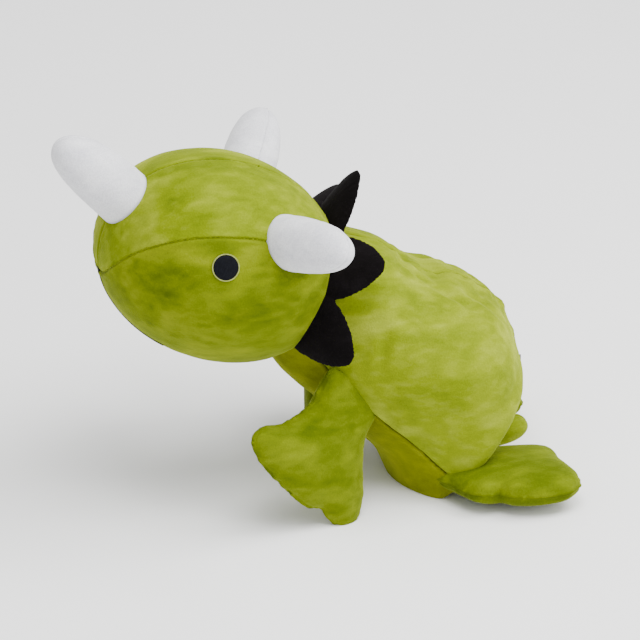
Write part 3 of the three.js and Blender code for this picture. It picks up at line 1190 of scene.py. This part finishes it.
@dataclass(frozen=True)
class Torso(Sewn):
    """The pear-shaped torso: two side panels that meet along the back, and a belly."""

    neck: tuple[float, float, float] = (0, -0.1233, 0.2009)
    pitch: float = 40
    squareness: float = 2.12
    taper: float = 0.13
    belly_half_angle: float = 55
    # distance behind the neck, half height, half width and rise of the middle, in millimetres
    stations: tuple[tuple[float, float, float, float], ...] = (
        (-34, 0, 0, 0),
        (-22, 42, 42, 0),
        (0, 59, 57, -1),
        (40, 73, 68, -1),
        (80, 75, 84, -3),
        (122, 83, 95, 1),
        (162, 88, 98, 2),
        (196, 88, 94, -14),
        (222, 79, 82, -34),
        (233, 0, 0, -62),
    )
    folds: tuple[Fold, ...] = (
        Fold((34, 94, 73), (52, 143, 77), 3.2, 5.0),
        Fold((14, 58, 71), (27, 88, 72), 2.6, 4.0),
        Fold((87, 118, 46), (74, 180, 59), 1.3, 5.0),
        Fold((30, 128, 82), (44, 168, 84), 1.5, 4.5),
        Fold((78, 62, 22), (80, 84, -12), 1.6, 5.0),
        Fold((66, 46, 46), (88, 92, 40), 1.2, 6.0),
        Fold((92, 150, -20), (88, 190, -30), 1.0, 6.0),
    )
    gathers: tuple[float, float] = (0.03, 0.235)
    gather_fade: float = 0.03
    gather_spread: float = 0.034
    bend: tuple[float, float] = (0.004, 0.066)

    @property
    def frame(self) -> Matrix:
        """The torso's own frame, with Y from the neck to the rump."""
        return pitched(self.neck, self.pitch)

    def onto(self, direction: Vector) -> Vector:
        """The point of the cover in a direction.

        Args:
            direction: The direction, where the torso is a unit ball.

        Returns:
            The point, in the torso's own frame.
        """
        share = math.acos(max(-1.0, min(1.0, -direction.y))) / math.pi
        at, tall, broad, rise = [part * MM for part in through(self.stations, share)]
        across = math.hypot(direction.x, direction.z) or 1.0
        x, z = direction.x / across, direction.z / across
        total = abs(x) ** self.squareness + abs(z) ** self.squareness or 1.0
        size = total ** (-1 / self.squareness)
        return Vector(
            (x * size * max(broad, 0.0) * (1 + self.taper * z), at, z * size * max(tall, 0.0) + rise)
        )

    def belly_field(self, point: Vector) -> float:
        """The distance outside the two seams of the belly."""
        half = math.radians(self.belly_half_angle)
        return abs(point.x) * math.cos(half) + point.z * math.sin(half)

    def sort(self, point: Vector) -> str:
        """The panel that a point belongs to."""
        if self.belly_field(point) < 0:
            return "belly_panel"
        return "torso_panel_left" if point.x > 0 else "torso_panel_right"

    def creases(self, point: Vector, out: Vector) -> float:
        """The lumps of the stuffing and the gathers along the back.

        Args:
            point: A point of the cover.
            out: The normal there.

        Returns:
            How far the cover stands out.
        """
        lumps = 1.3 * MM * noise.noise(point * 19) + 0.5 * MM * noise.noise(point * 55)
        first, last = self.gathers
        started = min(max((point.y - first) / self.gather_fade, 0.0), 1.0)
        along = started * min(max((last - point.y) / self.gather_fade, 0.0), 1.0)
        near = math.exp(-((point.x / self.gather_spread) ** 2)) if point.z > 0 else 0.0
        ruck = noise.noise(Vector((abs(point.x) * 16, point.y * 62 + abs(point.x) * 34, 4.7)))
        fine = noise.noise(Vector((abs(point.x) * 40, point.y * 150, 9.1)))
        folded = sum(fold.height(point) for fold in self.folds)
        return lumps + folded + along * near * (4.4 * MM * ruck + 1.3 * MM * fine)

    def build(self, cloth: Wardrobe) -> list[bpy.types.Object]:
        """Builds the three panels, which bend at the neck.

        Args:
            cloth: The finishes.

        Returns:
            The pieces.
        """
        form = shaped(ball(7), self.onto)
        swollen(form, self.creases)
        everything = form.verts[:] + form.edges[:] + form.faces[:]
        bmesh.ops.bisect_plane(form, geom=everything, plane_co=(0, 0, 0), plane_no=(1, 0, 0))
        cut_along(form, self.belly_field, lambda point: True)
        middle = Seam(
            lambda point: point.x,
            lambda point: point.z > 0,
            depth=1.7 * MM,
            width=1.6 * MM,
            puff=0.9 * MM,
            gather=1.5 * MM,
            dark=0.6,
        )
        belly = Seam(self.belly_field, depth=1.3 * MM, width=1.3 * MM, gather=0.5 * MM, dark=0.7)
        sew(form, (middle, belly))
        floor = self.frame.inverted()
        up = floor.to_3x3() @ Vector((0, 0, 1))
        for vert in form.verts:
            low = (self.frame @ vert.co).z - 0.3 * MM
            if low < 0:
                vert.co -= up * low
        finishes = {
            "torso_panel_left": (cloth.back, Slot.GREEN),
            "torso_panel_right": (cloth.back, Slot.GREEN),
            "belly_panel": (cloth.belly, Slot.BELLY),
        }
        made = self.panels(form, self.frame, self.sort, finishes)
        start, end = (self.frame @ Vector((0, reach, 0)) for reach in self.bend)
        for name, piece in made.items():
            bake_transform(piece, "head", "root", start, end)
            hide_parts(name)
        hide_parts("torso_filling")
        return list(made.values())


@dataclass(frozen=True)
class Pillow(Sewn):
    """A flat padded shape with a seam all round its outline, lying in its own XY plane."""

    name: str
    outline: tuple[tuple[float, float], ...]
    middle: tuple[float, float]
    thickness: float
    curl: float = 0.0
    slack: float = 0.8
    blunt: float = 1.05
    flange: float = 1.2 * MM
    ruck: float = 1.0 * MM
    padding: Padding = Padding()

    def edge(self, turn: float) -> Vector:
        """The outline's point at a turn round it, at even steps of length.

        Args:
            turn: How far round, from 0 to 1.

        Returns:
            The point.
        """
        points = self.even_outline()
        reach = (turn % 1.0) * len(points)
        index = int(reach)
        return points[index % len(points)].lerp(points[(index + 1) % len(points)], reach - index)

    def even_outline(self) -> list[Vector]:
        """The outline as a smooth closed line of evenly spaced points, in metres."""
        if self.name not in OUTLINES:
            rows = [self.outline[-1], *self.outline, self.outline[0], self.outline[1]]
            count = len(self.outline)
            share = [(1 + k * count / 960) / (len(rows) - 1) for k in range(961)]
            raw = [Vector((*through(rows, part), 0)) * MM for part in share]
            reach = [0.0]
            for before, after in zip(raw, raw[1:]):
                reach.append(reach[-1] + (after - before).length)
            even, index = [], 0
            for step in range(360):
                want = reach[-1] * step / 360
                while reach[index + 1] < want:
                    index += 1
                part = (want - reach[index]) / (reach[index + 1] - reach[index])
                even.append(raw[index].lerp(raw[index + 1], part))
            OUTLINES[self.name] = even
        return OUTLINES[self.name]

    def slab(self, level: int, share: float) -> bmesh.types.BMesh:
        """The padded shape before it is plumped up.

        Args:
            level: How fine the faces are.
            share: How much of the full thickness it has.

        Returns:
            The form.
        """
        centre = Vector((*self.middle, 0)) * MM

        def place(point: Vector) -> Vector:
            reach = math.hypot(point.x, point.y)
            rim = self.edge(math.atan2(point.y, point.x) / (2 * math.pi)) - centre
            flat = centre + rim * reach
            height = math.copysign(abs(point.z) ** self.blunt, point.z) * self.thickness / 2 * share
            return Vector((flat.x, flat.y, height))

        return shaped(ball(level), place)

    def seam_field(self, point: Vector) -> float:
        """The distance from the plane of the rim seam."""
        return point.z

    def sewn_form(self, level: int) -> bmesh.types.BMesh:
        """The plumped form with its rim seam.

        Args:
            level: How fine the faces are before it is plumped.

        Returns:
            The form.
        """
        form = self.padding.plump(self.slab(level, self.slack), self.name, self.seam_field)
        form = refined(form, self.name, 1)
        everything = form.verts[:] + form.edges[:] + form.faces[:]
        bmesh.ops.bisect_plane(form, geom=everything, dist=2e-5, plane_co=(0, 0, 0), plane_no=(0, 0, 1))
        bmesh.ops.triangulate(form, faces=form.faces)
        rim = Seam(self.seam_field, depth=0.0, width=1.3 * MM, puff=0.0)
        sew(form, (rim,))
        mark = form.verts.layers.float["seam"]
        centre = Vector((*self.middle, 0)) * MM

        def rucks(point: Vector, out: Vector) -> float:
            near = math.exp(-((point.z / (7 * MM)) ** 2))
            turn = math.atan2(point.y - centre.y, point.x - centre.x)
            wave = noise.noise(Vector((math.cos(turn) * 9, math.sin(turn) * 9, point.z * 25)))
            lump = noise.noise(point * 28 + Vector((3, 1, 2)))
            flange = math.exp(-((point.z / (0.9 * MM)) ** 2))
            groove = math.exp(-(((abs(point.z) - 2.6 * MM) / (1.2 * MM)) ** 2))
            rumples = self.ruck * (near * wave + 0.9 * lump)
            return rumples + self.flange * flange - 0.5 * self.flange * groove

        swollen(form, rucks)
        for vert in form.verts:
            # a weaker painted shade along the rim seam
            vert[mark] *= 0.25
            vert.co.z -= self.curl * 1000 * vert.co.x**2
        return form


OUTLINES: dict[str, list[Vector]] = {}


@dataclass(frozen=True)
class FrontLegs:
    """The two paddle-shaped front legs."""

    shoulder: tuple[float, float, float] = (0.066, -0.0945, 0.113)
    along: tuple[float, float, float] = (0.37, -0.6, -0.709)
    across: tuple[float, float, float] = (0.111, -0.648, 0.753)
    aside: float = 95
    tipped: float = 11
    moved: tuple[float, float, float] = (0.014, 0.004, 0)
    bend: tuple[float, float] = (-0.004, 0.036)
    pillow: Pillow = Pillow(
        name="front_leg",
        outline=(
            (28, -14),
            (32, 26),
            (48, 55),
            (69, 71),
            (66, 88),
            (32, 100),
            (-22, 104),
            (-36, 96),
            (-50, 102),
            (-78, 100),
            (-74, 72),
            (-54, 45),
            (-39, 20),
            (-32, -14),
        ),
        middle=(0, 54),
        thickness=0.044,
    )

    def frame(self, side: Side) -> Matrix:
        """The frame of a leg; the right one lies turned to the side and tipped forwards.

        Args:
            side: The side.

        Returns:
            The frame.
        """
        place = aimed(self.shoulder, self.along, self.across)
        if side is Side.LEFT:
            return place
        shoulder = Matrix.Translation((-self.shoulder[0], *self.shoulder[1:]))
        turn = Matrix.Rotation(math.radians(-self.tipped), 4, "X")
        turn @= Matrix.Rotation(math.radians(-self.aside), 4, "Z")
        turned = shoulder @ turn @ shoulder.inverted()
        return Matrix.Translation(self.moved) @ turned @ Matrix.Diagonal((-1, 1, 1, 1)) @ place

    def build(self, cloth: Wardrobe) -> list[bpy.types.Object]:
        """Builds both legs.

        Args:
            cloth: The finishes.

        Returns:
            The pieces.
        """
        return paired(self.pillow, self.frame, self.bend, Vector((0, 1, 0)), cloth)


@dataclass(frozen=True)
class HindLegs:
    """The two hind legs, which lie flat on the floor with their feet turned out."""

    height: float = 0.0222
    bend: tuple[float, float] = (0.044, 0.084)
    pillow: Pillow = Pillow(
        name="hind_leg",
        outline=(
            (34, -22),
            (62, -16),
            (92, -2),
            (112, 10),
            (118, 24),
            (115, 32),
            (127, 44),
            (134, 70),
            (130, 98),
            (111, 111),
            (76, 104),
            (40, 88),
        ),
        middle=(88, 54),
        thickness=0.0445,
        blunt=0.72,
    )
    hip: tuple[float, float, float] = (0.064, 0.037, 0.022)
    aside: float = 8

    def frame(self, side: Side) -> Matrix:
        """The frame of a leg; the right foot points a little further forwards.

        Args:
            side: The side.

        Returns:
            The frame.
        """
        place = Matrix.Diagonal((side.value, 1, 1, 1)) @ Matrix.Translation((0, 0, self.height))
        if side is Side.LEFT:
            return place
        hip = Matrix.Translation((-self.hip[0], *self.hip[1:]))
        return hip @ Matrix.Rotation(math.radians(self.aside), 4, "Z") @ hip.inverted() @ place

    def build(self, cloth: Wardrobe) -> list[bpy.types.Object]:
        """Builds both legs.

        Args:
            cloth: The finishes.

        Returns:
            The pieces.
        """
        return paired(self.pillow, self.frame, self.bend, Vector((1, 0, 0)), cloth)


def paired(
    pillow: Pillow,
    frame: Callable[[Side], Matrix],
    bend: tuple[float, float],
    along: Vector,
    cloth: Wardrobe,
) -> list[bpy.types.Object]:
    """Builds a leg and its mirror image, each with an outer and an inner panel.

    Args:
        pillow: The leg's shape.
        frame: Gives the frame of each side's leg.
        bend: Where the leg starts to turn and where it has turned fully, along it.
        along: The leg's direction, in its own frame.
        cloth: The finishes.

    Returns:
        The pieces.
    """
    made = []
    form = pillow.sewn_form(6)
    middle = Vector((*pillow.middle, 0)) * MM
    for side in Side:
        body = f"{pillow.name}_{side.word}"
        finishes = {f"{body}_outer": (cloth.paw, Slot.GREEN), f"{body}_inner": (cloth.paw_sole, Slot.GREEN)}
        place = frame(side)
        panels = pillow.panels(
            form.copy(), place, lambda point: f"{body}_{'outer' if point.z > 0 else 'inner'}", finishes
        )
        across = middle - along * middle.dot(along)
        start, end = (place @ (along * reach + across) for reach in bend)
        for name, panel in panels.items():
            above_floor(panel)
            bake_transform(panel, "root", body, start, end)
            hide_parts(name)
            made.append(panel)
        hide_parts(f"{body}_filling")
    form.free()
    return made


def above_floor(piece: bpy.types.Object) -> None:
    """Flattens a piece where it rests on the floor."""
    for vert in piece.data.vertices:
        vert.co.z = max(vert.co.z, 0.3 * MM)


@dataclass(frozen=True)
class Horn(Sewn):
    """An egg-shaped stuffed horn of two panels, along its own Y axis."""

    name: str
    base: tuple[float, float, float]
    along: tuple[float, float, float]
    across: tuple[float, float, float]
    length: float
    radius: float
    bend: float
    sink: float = 0.013

    def onto(self, direction: Vector) -> Vector:
        """The point of the cover in a direction.

        Args:
            direction: The direction, where the horn is a unit ball.

        Returns:
            The point, in the horn's own frame.
        """
        whole = self.length + self.sink
        turn = math.acos(max(-1.0, min(1.0, -direction.y))) / math.pi
        across = math.hypot(direction.x, direction.z) or 1.0
        if turn < 0.12:
            share, size = 0.0, turn / 0.12
        else:
            share = math.sin((turn - 0.12) / 0.88 * math.pi / 2)
            size = max(1 - share**3.6, 0.0) ** 0.5
        x = direction.x / across * self.radius * size
        z = direction.z / across * self.radius * size + self.bend * share**2
        return Vector((x, share * whole - self.sink, z))

    def build(self, head: Head, side: int, finish: bpy.types.Material) -> list[bpy.types.Object]:
        """Builds the two panels.

        Args:
            head: The head.
            side: The sign of X on its side, or 0 in the middle.
            finish: The plush.

        Returns:
            The pieces.
        """
        form = shaped(ball(6), self.onto)
        swollen(form, lambda at, out: 0.5 * MM * noise.noise(at * 34) + 0.25 * MM * noise.noise(at * 90))
        everything = form.verts[:] + form.edges[:] + form.faces[:]
        bmesh.ops.bisect_plane(form, geom=everything, plane_co=(0, 0, 0), plane_no=(1, 0, 0))
        sew(form, (Seam(lambda point: point.x, depth=0.5 * MM, width=1.0 * MM, puff=0.25 * MM),))
        mark = form.verts.layers.float["seam"]
        place = aimed(self.base, self.along, self.across)
        # painted shade where the horn sinks into the head, over a weaker painted shade along the horn's own
        # seam
        for vert in form.verts:
            here = place @ vert.co
            total = sum(abs(part / half) ** head.squareness for part, half in zip(here, head.halves))
            depth = (total - 1) * 0.05
            vert[mark] = max(vert[mark] * 0.18, 0.55 * math.exp(-((depth / (1.6 * MM)) ** 2)))
        mirror = Matrix.Diagonal((-1 if side < 0 else 1, 1, 1, 1))
        finishes = {f"{self.name}_panel_{half}": (finish, Slot.WHITE) for half in "ab"}
        made = self.panels(
            form,
            head.frame @ mirror @ place,
            lambda point: f"{self.name}_panel_{'a' if point.x > 0 else 'b'}",
            finishes,
        )
        for name, piece in made.items():
            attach(piece, "head")
            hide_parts(name)
        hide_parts(f"{self.name}_filling")
        return list(made.values())


@dataclass(frozen=True)
class Frill:
    """Five padded charcoal spikes round the back of the head."""

    neck_plane: float = 0.082
    half_base: float = 31
    length: float = 52
    thickness: float = 0.013
    curl: float = 0.0062
    # the name of each spike, its turn round the head and how far it leans back, in degrees
    spikes: tuple[tuple[str, float, float], ...] = (
        ("frill_spike_top", 0, 11),
        ("frill_spike_upper_left", 50, 41),
        ("frill_spike_upper_right", -50, 41),
        ("frill_spike_lower_left", 101, 41),
        ("frill_spike_lower_right", -101, 41),
    )

    def pillow(self) -> Pillow:
        """The shape of one spike."""
        half, top = self.half_base, self.length
        return Pillow(
            name="frill_spike",
            outline=(
                (-half, -9),
                (0, -11),
                (half, -9),
                (half * 0.98, top * 0.2),
                (half * 0.76, top * 0.56),
                (half * 0.38, top * 0.88),
                (0, top),
                (-half * 0.38, top * 0.88),
                (-half * 0.76, top * 0.56),
                (-half * 0.98, top * 0.2),
            ),
            middle=(0, top * 0.36),
            thickness=self.thickness,
            curl=self.curl,
            slack=0.7,
            flange=0.5 * MM,
            ruck=0.35 * MM,
            padding=Padding(voxel=2.4 * MM, frames=14, limit=3 * MM, hold=1.6 * MM),
        )

    def build(self, head: Head, finish: bpy.types.Material) -> list[bpy.types.Object]:
        """Builds the spikes, each with a front and a back panel.

        Args:
            head: The head.
            finish: The plush.

        Returns:
            The pieces.
        """
        made = []
        pillow = self.pillow()
        form = pillow.sewn_form(5)
        share = (1 - (self.neck_plane / head.half_length) ** head.squareness) ** (1 / head.squareness)
        for name, degrees, lean in self.spikes:
            turn, back = math.radians(degrees), math.radians(lean)
            out = Vector((math.sin(turn), 0, math.cos(turn)))
            tangent = Vector((math.cos(turn), 0, -math.sin(turn)))
            base = (share * head.half_width * out.x, self.neck_plane, share * head.half_height * out.z)
            along = out * math.cos(back) + Vector((0, math.sin(back), 0))
            finishes = {f"{name}_front": (finish, Slot.CHARCOAL), f"{name}_back": (finish, Slot.CHARCOAL)}
            panels = pillow.panels(
                form.copy(),
                head.frame @ aimed(base, along, tangent),
                lambda point: f"{name}_{'front' if point.z + self.curl * 1000 * point.x**2 < 0 else 'back'}",
                finishes,
            )
            for node, piece in panels.items():
                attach(piece, "head")
                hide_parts(node)
                made.append(piece)
            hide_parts(f"{name}_filling")
        form.free()
        return made


@dataclass(frozen=True)
class Tail(Sewn):
    """The short stub of the tail, of two panels."""

    place: tuple[float, float, float] = (0, 0.054, 0.028)
    radius: float = 0.015
    length: float = 0.037
    bend: tuple[float, float] = (0.047, 0.07)

    def build(self, finish: bpy.types.Material) -> list[bpy.types.Object]:
        """Builds the two panels, which bend where they are sewn on.

        Args:
            finish: The plush.

        Returns:
            The pieces.
        """
        horn = Horn("tail", self.place, (0, 1, 0), (1, 0, 0), self.length, self.radius, 0.002)
        form = shaped(ball(5), horn.onto)
        swollen(form, lambda at, out: 0.5 * MM * noise.noise(at * 70))
        everything = form.verts[:] + form.edges[:] + form.faces[:]
        bmesh.ops.bisect_plane(form, geom=everything, plane_co=(0, 0, 0), plane_no=(1, 0, 0))
        sew(form, (Seam(lambda point: point.x, depth=1.0 * MM, width=1.2 * MM, puff=0.4 * MM),))
        finishes = {"tail_panel_a": (finish, Slot.GREEN), "tail_panel_b": (finish, Slot.GREEN)}
        place = aimed(self.place, (0, 1, 0), (1, 0, 0))
        made = self.panels(form, place, lambda point: f"tail_panel_{'a' if point.x > 0 else 'b'}", finishes)
        start, end = (Vector((0, reach, self.place[2])) for reach in self.bend)
        for name, piece in made.items():
            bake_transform(piece, "root", "tail", start, end)
            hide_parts(name)
        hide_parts("tail_filling")
        return list(made.values())


@dataclass(frozen=True)
class Label:
    """The folded ribbon tab in the seam of the rump."""

    drop: float = 0.0005

    def build(self, finish: bpy.types.Material) -> list[bpy.types.Object]:
        """Builds the tab: a ribbon folded double, with a soft fold at its free end.

        Args:
            finish: The ribbon's weave.

        Returns:
            The piece.
        """
        low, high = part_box("seam_label")
        size, middle = high - low, (high + low) / 2
        form = bmesh.new()
        bmesh.ops.create_cube(form, size=1.0)
        stretch = Matrix.Translation(middle) @ Matrix.Diagonal((size.x, size.y, size.z, 1))
        bmesh.ops.transform(form, matrix=stretch, verts=form.verts)
        bmesh.ops.bevel(
            form, geom=form.edges[:], offset=0.45 * MM, affect="EDGES", segments=3, profile=0.5, material=-1
        )
        bmesh.ops.subdivide_edges(form, edges=form.edges[:], cuts=5, use_grid_fill=True)
        for vert in form.verts:
            reach = (vert.co.y - low.y) / size.y
            vert.co.x += 0.8 * MM * math.sin(reach * 2.6) + 0.25 * MM * noise.noise(vert.co * 160)
            vert.co.z -= self.drop * reach
        tab = as_object(form, "seam_tab")
        tab.data.materials.append(finish)
        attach(tab, "root")
        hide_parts("seam_label")
        return [tab]


@dataclass(frozen=True)
class PelletPouch:
    """The cotton pouch of pellets inside the seat of the torso."""

    middle: tuple[float, float, float] = (0, 0, 0.052)
    halves: tuple[float, float, float] = (0.060, 0.038, 0.040)
    lump: float = 1.2 * MM
    fill: float = 0.7

    def build(self, finish: bpy.types.Material) -> list[bpy.types.Object]:
        """Builds the pouch, with a seam round it and the pellets showing as lumps.

        Args:
            finish: The cotton.

        Returns:
            The piece.
        """

        def place(point: Vector) -> Vector:
            return Vector([part * half for part, half in zip(point, self.halves)]) + Vector(self.middle)

        form = shaped(ball(5), place)
        swollen(form, lambda at, out: self.lump * (noise.noise(at * 90) - 0.5))
        sew(form, (Seam(lambda point: point.z - self.middle[2], depth=1.0 * MM),))
        pouch = as_object(form, "cotton_pouch")
        pouch.data.materials.append(finish)
        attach(pouch, "root")
        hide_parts("pellet_pouch")
        return [pouch]


BROW = {
    "base": (0.0727, 0.0245, 0.0563),
    "along": (0.863, 0.279, 0.42),
    "across": (0, 1, 0),
    "length": 0.088,
    "radius": 0.0252,
    "bend": 0.003,
}
NOSE = {
    "base": (0, -0.1096, 0.0265),
    "along": (0, -0.915, 0.403),
    "across": (1, 0, 0),
    "length": 0.086,
    "radius": 0.0268,
    "bend": 0.006,
}


def dress_frame(frame: dict, cloth: Wardrobe) -> None:
    """Gives every CAD node a finish of its own, under the panels that stand for it.

    Args:
        frame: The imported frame.
        cloth: The finishes.
    """
    for name, node in frame["nodes"].items():
        finish = cloth.cotton if name == "pellet_pouch" else cloth.filling
        node.data.materials.clear()
        node.data.materials.append(finish)


def main() -> None:
    """Builds the toy and its studio."""
    logging.basicConfig(level=logging.INFO, format="%(name)s: %(message)s")
    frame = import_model()
    Studio().build()
    cloth = wardrobe()
    dress_frame(frame, cloth)
    head, torso = Head(), Torso()
    pieces = [*head.build(cloth), *Face().build(head, cloth), *torso.build(cloth)]
    horns = (
        (Horn("nose_horn", **NOSE), 0),
        (Horn("brow_horn_left", **BROW), 1),
        (Horn("brow_horn_right", **BROW), -1),
    )
    for horn, side in horns:
        pieces += horn.build(head, side, cloth.white)
    pieces += Frill().build(head, cloth.charcoal)
    pieces += FrontLegs().build(cloth)
    pieces += HindLegs().build(cloth)
    pieces += Tail().build(cloth.back)
    pieces += Label().build(cloth.ribbon)
    pieces += PelletPouch().build(cloth.cotton)
    for piece in pieces:
        report(piece)


if __name__ == "__main__":
    main()
